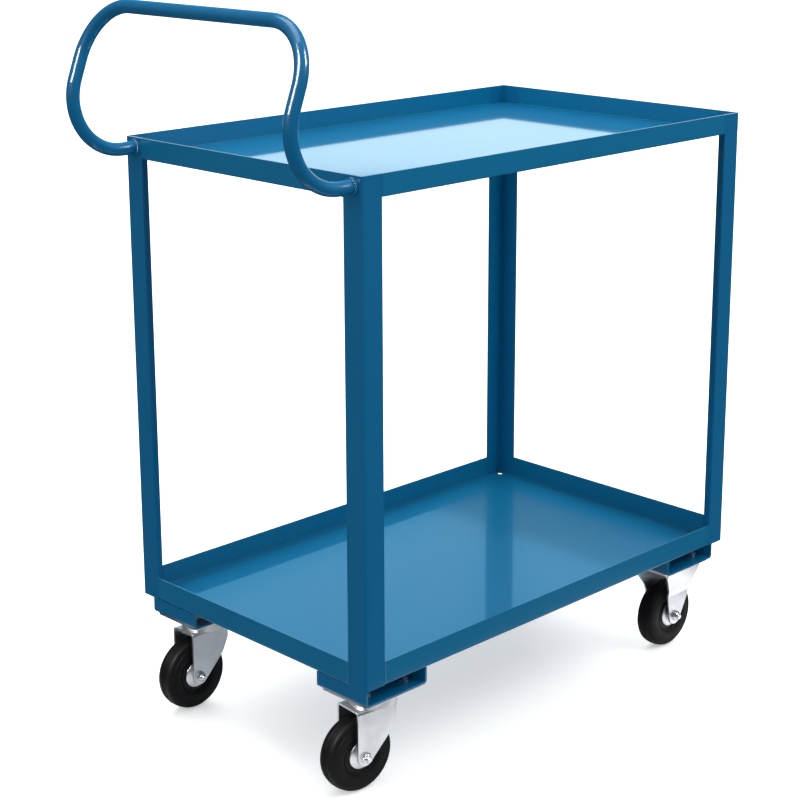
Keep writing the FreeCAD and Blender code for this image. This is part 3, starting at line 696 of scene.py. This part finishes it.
def tyre_side():
    """Half of the tyre's section in metres, from the bore round to the tread's middle."""
    points = [(0.0390, 0.0), (0.0390, 0.0135), (0.0300, 0.0135), (0.0300, 0.0150), (0.0304, 0.0155)]
    points += [(0.0326, 0.0156), (0.0331, 0.0150), (0.0335, 0.0145), (0.0341, 0.0146)]
    points += [(0.0346, 0.0156), (0.0350, 0.0164)]
    points += arc_points((0.0350, 0.0164), (0.0436, 0.0178), (0.0510, 0.0173), 9)[1:]
    points += [(0.0514, 0.0177), (0.0519, 0.0177), (0.0523, 0.0170)]
    points += arc_points((0.0523, 0.0170), (0.0594, 0.0140), (0.0614, 0.0094), 10)[1:]
    points += arc_points((0.0614, 0.0094), (0.0617, 0.0077), (0.0617, 0.0060), 3)[1:]
    points += [(0.0612, 0.0055), (0.0611, 0.0049), (0.0613, 0.0044), (0.0623, 0.0041)]
    points += [(0.0625, 0.0037), (0.0625, 0.0027), (0.0623, 0.0023), (0.0613, 0.0020)]
    points += [(0.0611, 0.0015), (0.0611, 0.0003), (0.0613, 0.00012), (0.0613, 0.0)]
    return points


tyre_half = tyre_side()
tyre_section = tyre_half + [(r, -along) for r, along in reversed(tyre_half[1:-1])]
for corner in corners:
    shape = bmesh.new()
    turn_section(shape, tyre_section, tyre_segments, axle_place(corner))
    tyre = finish_mesh("rubber_tyre_" + corner, shape, tyre_rubber, tyre_crease)
    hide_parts("tyre_" + corner)
    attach(tyre, wheel_body(corner))
print("tyre section points:", len(tyre_section))

# %% [markdown]
# ### Hub discs
#
# A thin steel disc closes each side of the bearing. It is pressed: a flat collar by the
# axle, a shallow step, a cone that falls away, and a rim curled in towards the wheel.

# %% Hub discs
disc_segments = 96
disc_crease = 50
disc_outline = [
    (0.0068, 0.0191), (0.0068, 0.0202), (0.0118, 0.0202), (0.0126, 0.0200), (0.0131, 0.0194),
    (0.0138, 0.0190), (0.0190, 0.0174), (0.0218, 0.0163), (0.0226, 0.0158), (0.0230, 0.0150),
    (0.0230, 0.0144), (0.0222, 0.0144), (0.0220, 0.0150), (0.0212, 0.0154), (0.0186, 0.0163),
    (0.0136, 0.0179), (0.0125, 0.0186), (0.0118, 0.0191)]
for corner in corners:
    shape = bmesh.new()
    for way in (1, -1):
        turn_section(shape, disc_outline, disc_segments, axle_place(corner, way))
    disc = finish_mesh("pressed_hub_discs_" + corner, shape, pressed_zinc, disc_crease)
    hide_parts("hub_discs_" + corner)
    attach(disc, wheel_body(corner))
print("hub disc section points:", len(disc_outline))

# %% [markdown]
# ## Nuts, bolts and threads
#
# A nut is a hexagon with its corners turned off at 30 degrees, which leaves the curved
# edges that tell a real nut from a six-sided block. In polar form that is simple: at
# each angle the hexagon has a radius, and wherever that radius is larger than the turned
# circle, the face is cut back in proportion. A thread is a grid wrapped round a rod,
# pushed in and out by the distance travelled along the helix.

# %% Hexagon and thread helpers
hex_steps = 72
chamfer_slope = math.tan(math.radians(30))
chamfer_from = 0.97
bore_chamfer = 0.0006
collar_round = 0.0005
thread_sides = 24
thread_levels_per_turn = 5
thread_depth = 0.61
fastener_crease = 30


def hex_radius(angle, flats):
    """Distance from the middle of a hexagon to its edge, at an angle."""
    part = (angle + math.pi / 6) % (math.pi / 3) - math.pi / 6
    return flats / 2 / math.cos(part)


def skin_rings(shape, rings, close_first=False, close_last=False):
    """Join rings of points into a skin, and close either end with a fan."""
    made = [[shape.verts.new(point) for point in ring] for ring in rings]
    for low, high in zip(made, made[1:]):
        count = len(low)
        for i in range(count):
            k = (i + 1) % count
            shape.faces.new((low[i], low[k], high[k], high[i]))
    for ring, wanted in ((made[0], close_first), (made[-1], close_last)):
        if wanted:
            middle = sum((vert.co for vert in ring), Vector()) / len(ring)
            hub = shape.verts.new(middle)
            for i in range(len(ring)):
                shape.faces.new((ring[i], ring[(i + 1) % len(ring)], hub))


def hexagon_skin(shape, matrix, flats, height, bore=0.0, collar=None):
    """A chamfered nut standing on z = 0, or a bolt head if it has no bore."""
    angles = [2 * math.pi * i / hex_steps for i in range(hex_steps)]
    turned = flats / 2 * chamfer_from

    def ring(z_of, radius_of):
        return [
            matrix @ Vector((radius_of(a) * math.cos(a), radius_of(a) * math.sin(a), z_of(a)))
            for a in angles]

    def cut_back(angle):
        return max(0.0, hex_radius(angle, flats) - turned) * chamfer_slope

    def round_or_flat(angle):
        return min(hex_radius(angle, flats), turned)

    rings = []
    if bore:
        rings.append(ring(lambda a: bore_chamfer, lambda a: bore))
        rings.append(ring(lambda a: 0.0, lambda a: bore + bore_chamfer))
    rings.append(ring(lambda a: 0.0, round_or_flat))
    rings.append(ring(cut_back, lambda a: hex_radius(a, flats)))
    rings.append(ring(lambda a: height - cut_back(a), lambda a: hex_radius(a, flats)))
    rings.append(ring(lambda a: height, round_or_flat))
    top = height
    if collar:
        collar_radius, top = collar
        rings.append(ring(lambda a: height, lambda a: collar_radius))
        rings.append(ring(lambda a: top - collar_round, lambda a: collar_radius))
        rings.append(ring(lambda a: top, lambda a: collar_radius - bore_chamfer))
    if bore:
        rings.append(ring(lambda a: top, lambda a: bore + bore_chamfer))
        rings.append(ring(lambda a: top - bore_chamfer, lambda a: bore))
        rings.append(rings[0])
        skin_rings(shape, rings)
    else:
        rings.append(ring(lambda a: top, lambda a: turned * 0.4))
        skin_rings(shape, rings, close_first=True, close_last=True)


def threaded_rod(shape, matrix, radius, length, pitch, thread_from):
    """A rod from z = 0, with a helical thread from a given height to its chamfered tip."""
    depth = thread_depth * pitch
    levels = [0.0, thread_from - pitch * 0.4]
    steps = int((length - thread_from) / (pitch / thread_levels_per_turn))
    levels += [thread_from + (length - thread_from) * i / steps for i in range(steps + 1)]
    rings = []
    for z in levels:
        ring = []
        for i in range(thread_sides):
            angle = 2 * math.pi * i / thread_sides
            r = radius
            if z >= thread_from:
                phase = (z / pitch - i / thread_sides) % 1.0
                r -= depth * min(1.0, max(0.0, 1.25 * (1 - abs(2 * phase - 1)) - 0.1))
                r = min(r, radius - depth + (length - z) * 0.9)
            ring.append(matrix @ Vector((r * math.cos(angle), r * math.sin(angle), z)))
        rings.append(ring)
    skin_rings(shape, rings, close_first=True, close_last=True)


def upright(centre, way=1):
    """Stand local Z up at a point, or down if way is -1."""
    turn = Matrix.Identity(4) if way == 1 else Matrix.Rotation(math.pi, 4, "X")
    return Matrix.Translation(centre) @ turn


# %% [markdown]
# ### Caster bolts
#
# Four M8 bolts hold each caster. They go in from below, so the heads are under the plate
# and the nuts and thread ends stand inside the channel bracket, where they catch the
# light through its open side.

# %% Caster bolts, nuts and their places
bolt_spacing_x = 0.084
bolt_spacing_y = 0.060
sheet = 0.0035
m8_radius = 0.004
m8_flats = 0.013
m8_head_height = 0.0053
m8_nut_height = 0.0065
m8_pitch = 0.00125
washer_height = 0.002
first_twist = 0.4
twist_step = 0.83


def bolt_places(corner):
    """The four bolt centres of a corner, at the underside of the caster plate."""
    low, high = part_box("bracket_" + corner)
    middle = (Vector(low) + Vector(high)) / 2
    under = low[2] - sheet
    half_x, half_y = bolt_spacing_x / 2, bolt_spacing_y / 2
    return [
        Vector((middle.x + way_x * half_x, middle.y + way_y * half_y, under))
        for way_x in (-1, 1) for way_y in (-1, 1)]


bolt_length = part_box("mounting_bolts")[1][2] - bolt_places("push_right")[0].z
nut_start = 2 * sheet + washer_height
bolt_shape = bmesh.new()
nut_shape = bmesh.new()
for corner in corners:
    for index, spot in enumerate(bolt_places(corner)):
        twist = Matrix.Rotation(first_twist + twist_step * index, 4, "Z")
        hexagon_skin(bolt_shape, upright(spot, -1) @ twist, m8_flats, m8_head_height)
        threaded_rod(bolt_shape, upright(spot), m8_radius, bolt_length, m8_pitch, nut_start)
        nut_place = upright(spot + Vector((0, 0, nut_start))) @ twist
        hexagon_skin(nut_shape, nut_place, m8_flats, m8_nut_height, bore=m8_radius)
caster_bolts = finish_mesh("caster_bolts", bolt_shape, fastener_zinc, fastener_crease)
caster_nuts = finish_mesh("caster_nuts", nut_shape, fastener_zinc, fastener_crease)
for piece, node in ((caster_bolts, "mounting_bolts"), (caster_nuts, "mounting_nuts")):
    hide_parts(node)
    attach(piece, "trolley_frame")
print("caster bolts, each", round(bolt_length * 1000, 1), "mm long under the head")

# %% [markdown]
# ### Axle bolts and lock nuts
#
# Each wheel turns on an M10 bolt through both fork arms. The nut on the outside has a
# round collar that holds a nylon ring, so that it can't shake loose, and a few turns of
# thread show past it.

# %% Axle bolts and lock nuts
m10_radius = 0.005
m10_flats = 0.016
m10_head_height = 0.0064
m10_pitch = 0.0015
lock_nut_hex = 0.0058
lock_nut_height = 0.0080
lock_collar_radius = 0.0070
fork_half_width = 0.027
axle_length = 2 * fork_half_width + lock_nut_height + 0.003


def axle_set(bolt_shape, nut_shape, corner, twist):
    """One axle bolt with its head on the left, and its lock nut on the right."""
    left = axle_place(corner, 1, fork_half_width)
    right = axle_place(corner, -1, -fork_half_width)
    along = axle_place(corner, -1, fork_half_width)
    spin = Matrix.Rotation(twist, 4, "Z")
    hexagon_skin(bolt_shape, left @ spin, m10_flats, m10_head_height)
    threaded_rod(
        bolt_shape, along, m10_radius, axle_length, m10_pitch, 2 * fork_half_width - 0.001)
    hexagon_skin(
        nut_shape, right @ spin, m10_flats, lock_nut_hex,
        bore=m10_radius, collar=(lock_collar_radius, lock_nut_height))


def dress_axle(name, shape, node, body):
    piece = finish_mesh(name, shape, fastener_zinc, fastener_crease)
    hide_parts(node)
    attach(piece, body)


for index, corner in enumerate(swivel_corners):
    bolt_shape, nut_shape = bmesh.new(), bmesh.new()
    axle_set(bolt_shape, nut_shape, corner, 0.25 + 0.6 * index)
    dress_axle("axle_bolt_thread_" + corner, bolt_shape, "axle_bolt_" + corner, caster_body(corner))
    dress_axle("axle_lock_nut_" + corner, nut_shape, "axle_nut_" + corner, caster_body(corner))
bolt_shape, nut_shape = bmesh.new(), bmesh.new()
for index, corner in enumerate(rigid_corners):
    axle_set(bolt_shape, nut_shape, corner, 0.5 + 0.4 * index)
dress_axle("axle_bolt_threads_nose", bolt_shape, "rigid_axle_bolts", "trolley_frame")
dress_axle("axle_lock_nuts_nose", nut_shape, "rigid_axle_nuts", "trolley_frame")
print("axle bolts, each", round(axle_length * 1000, 1), "mm long under the head")

# %% [markdown]
# ## Weld beads
#
# A weld is laid drop by drop, so its bead is a row of overlapping ripples, painted over
# afterwards. Each bead here is a rounded strip whose size swells and falls along its
# length, with a little unevenness that comes from a fixed noise, so that it is the same
# every time.

# %% Weld bead helpers
ripple_pitch = 0.0026
steps_per_ripple = 4
weld_crease = 50
bead_sunk = 0.0003


def ripple(distance, seed):
    """How much a bead has swollen at a distance along it, about 1."""
    phase = (distance / ripple_pitch) % 1.0
    uneven = noise.noise(Vector((distance * 160, seed * 7.3, 0.5)))
    return 0.86 + 0.14 * math.sin(math.pi * phase) + 0.10 * uneven


def straight_bead(shape, start, end, side, out, half_width, height, seed):
    """A bead along a straight seam: a low rounded ridge that stands out of the surface."""
    run = end - start
    steps = max(8, int(run.length / ripple_pitch * steps_per_ripple))
    sections = []
    for i in range(steps + 1):
        share = i / steps
        swell = ripple(run.length * share, seed)
        swell *= min(1.0, 0.35 + 6 * min(share, 1 - share) * run.length / (6 * half_width))
        middle = start + run * share
        ridge = []
        for k in range(9):
            angle = math.pi * k / 8
            ridge.append(
                middle + side * (half_width * swell * math.cos(angle))
                + out * (height * swell * math.sin(angle)))
        ridge += [middle - out * bead_sunk - side * half_width * 0.6]
        ridge += [middle - out * bead_sunk + side * half_width * 0.6]
        sections.append(ridge)
    skin_rings(shape, sections, close_first=True, close_last=True)


def corner_bead(shape, start, end, first_leg, second_leg, size, seed):
    """A bead laid in an inside corner: a quarter round between two faces."""
    run = end - start
    steps = max(8, int(run.length / ripple_pitch * steps_per_ripple))
    sections = []
    for i in range(steps + 1):
        swell = ripple(run.length * i / steps, seed) * size
        middle = start + run * i / steps
        quarter = [middle]
        for k in range(7):
            angle = math.pi / 2 * k / 6
            bulge = 0.80 + 0.20 * math.cos(2 * angle) ** 2
            quarter.append(
                middle + first_leg * (swell * bulge * math.cos(angle))
                + second_leg * (swell * bulge * math.sin(angle)))
        sections.append(quarter)
    skin_rings(shape, sections, close_first=True, close_last=True)


def ring_bead(shape, centre, axis, radius, size, seed):
    """A bead laid round a tube where its end meets a flat face."""
    across = axis.orthogonal().normalized()
    third = axis.cross(across)
    round_length = 2 * math.pi * (radius + size / 2)
    steps = int(round_length / ripple_pitch * steps_per_ripple)
    sections = []
    for i in range(steps):
        angle = 2 * math.pi * i / steps
        out = across * math.cos(angle) + third * math.sin(angle)
        swell = ripple(round_length * i / steps, seed) * size
        foot = centre + out * (radius - 0.0002)
        quarter = [foot]
        for k in range(8):
            lift = math.pi / 2 * k / 7
            quarter.append(foot + out * (swell * math.cos(lift)) + axis * (swell * math.sin(lift)))
        sections.append(quarter)
    skin_rings(shape, sections + [sections[0]])


# %% [markdown]
# ### Where the welds are
#
# The trays' lips are butted against the edges of the leg flanges and welded there, the
# handle's ends are welded round against the legs, and the bracket channels are stitched
# under the lower tray. Each weld's place comes from the boxes of the parts it joins.

# %% Tray seams
leg_flange = 0.040
leg_wall = 0.003
lip_wall = 0.002
fold = 0.003
seam_half_width = 0.0022
seam_proud = 0.00034
seam_inside = leg_wall - lip_wall + 0.0004
seam_shape = bmesh.new()
tray_boxes = [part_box("top_tray"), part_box("lower_tray")]
seed = 0
for tray_low, tray_high in tray_boxes:
    for corner in corners:
        leg_low, leg_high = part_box("leg_" + corner)
        way_x = 1 if corner.startswith("push") else -1
        way_y = 1 if corner.endswith("right") else -1
        edge_x = leg_low[0] if way_x == 1 else leg_high[0]
        edge_y = leg_low[1] if way_y == 1 else leg_high[1]
        bottom, top = tray_low[2] + fold, tray_high[2]
        inner_x, inner_y = Vector((way_x, 0, 0)), Vector((0, way_y, 0))
        for along, depth in ((inner_x, inner_y), (inner_y, inner_x)):
            seam = Vector((edge_x, edge_y, 0)) + along * leg_flange
            foot, head = seam + Vector((0, 0, bottom)), seam + Vector((0, 0, top))
            straight_bead(seam_shape, foot, head, along, -depth, seam_half_width, seam_proud, seed)
            step = depth * lip_wall
            corner_bead(seam_shape, foot + step, head + step, along, depth, seam_inside, seed)
            seed += 1
tray_seams = finish_mesh("tray_seam_welds", seam_shape, weld_paint, weld_crease)
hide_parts("tray_weld_beads")
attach(tray_seams, "trolley_frame")
print("seams welded:", seed)

# %% Handle and bracket welds
tube_radius = 0.011
handle_bead_size = 0.0038
handle_seed = 30
weld_low, weld_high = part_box("handle_weld_beads")
bead_reach = tube_radius + 0.004
handle_shape = bmesh.new()
for index, y in enumerate((weld_low[1] + bead_reach, weld_high[1] - bead_reach)):
    centre = Vector((weld_high[0], y, (weld_low[2] + weld_high[2]) / 2))
    outward = Vector((-1, 0, 0))
    ring_bead(handle_shape, centre, outward, tube_radius, handle_bead_size, handle_seed + index)
handle_welds = finish_mesh("handle_ring_welds", handle_shape, weld_paint, weld_crease)
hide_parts("handle_weld_beads")

stitch_shape = bmesh.new()
stitch_size = 0.003
stitch_length = 0.035
down = Vector((0, 0, -1))
for corner in corners:
    low, high = (Vector(v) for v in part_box("bracket_" + corner))
    for wall_x, way in ((low.x + sheet, 1), (high.x - sheet, -1)):
        for start_y in (low.y + leg_flange, high.y - stitch_length):
            start = Vector((wall_x, start_y, high.z))
            end = start + Vector((0, stitch_length, 0))
            inward = Vector((way, 0, 0))
            corner_bead(stitch_shape, start, end, inward, down, stitch_size, start_y)
bracket_welds = finish_mesh("bracket_stitch_welds", stitch_shape, weld_paint, weld_crease)
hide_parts("bracket_weld_beads")
for piece in (handle_welds, bracket_welds):
    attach(piece, "trolley_frame")
print("handle and bracket welds:", handle_welds.name, bracket_welds.name)
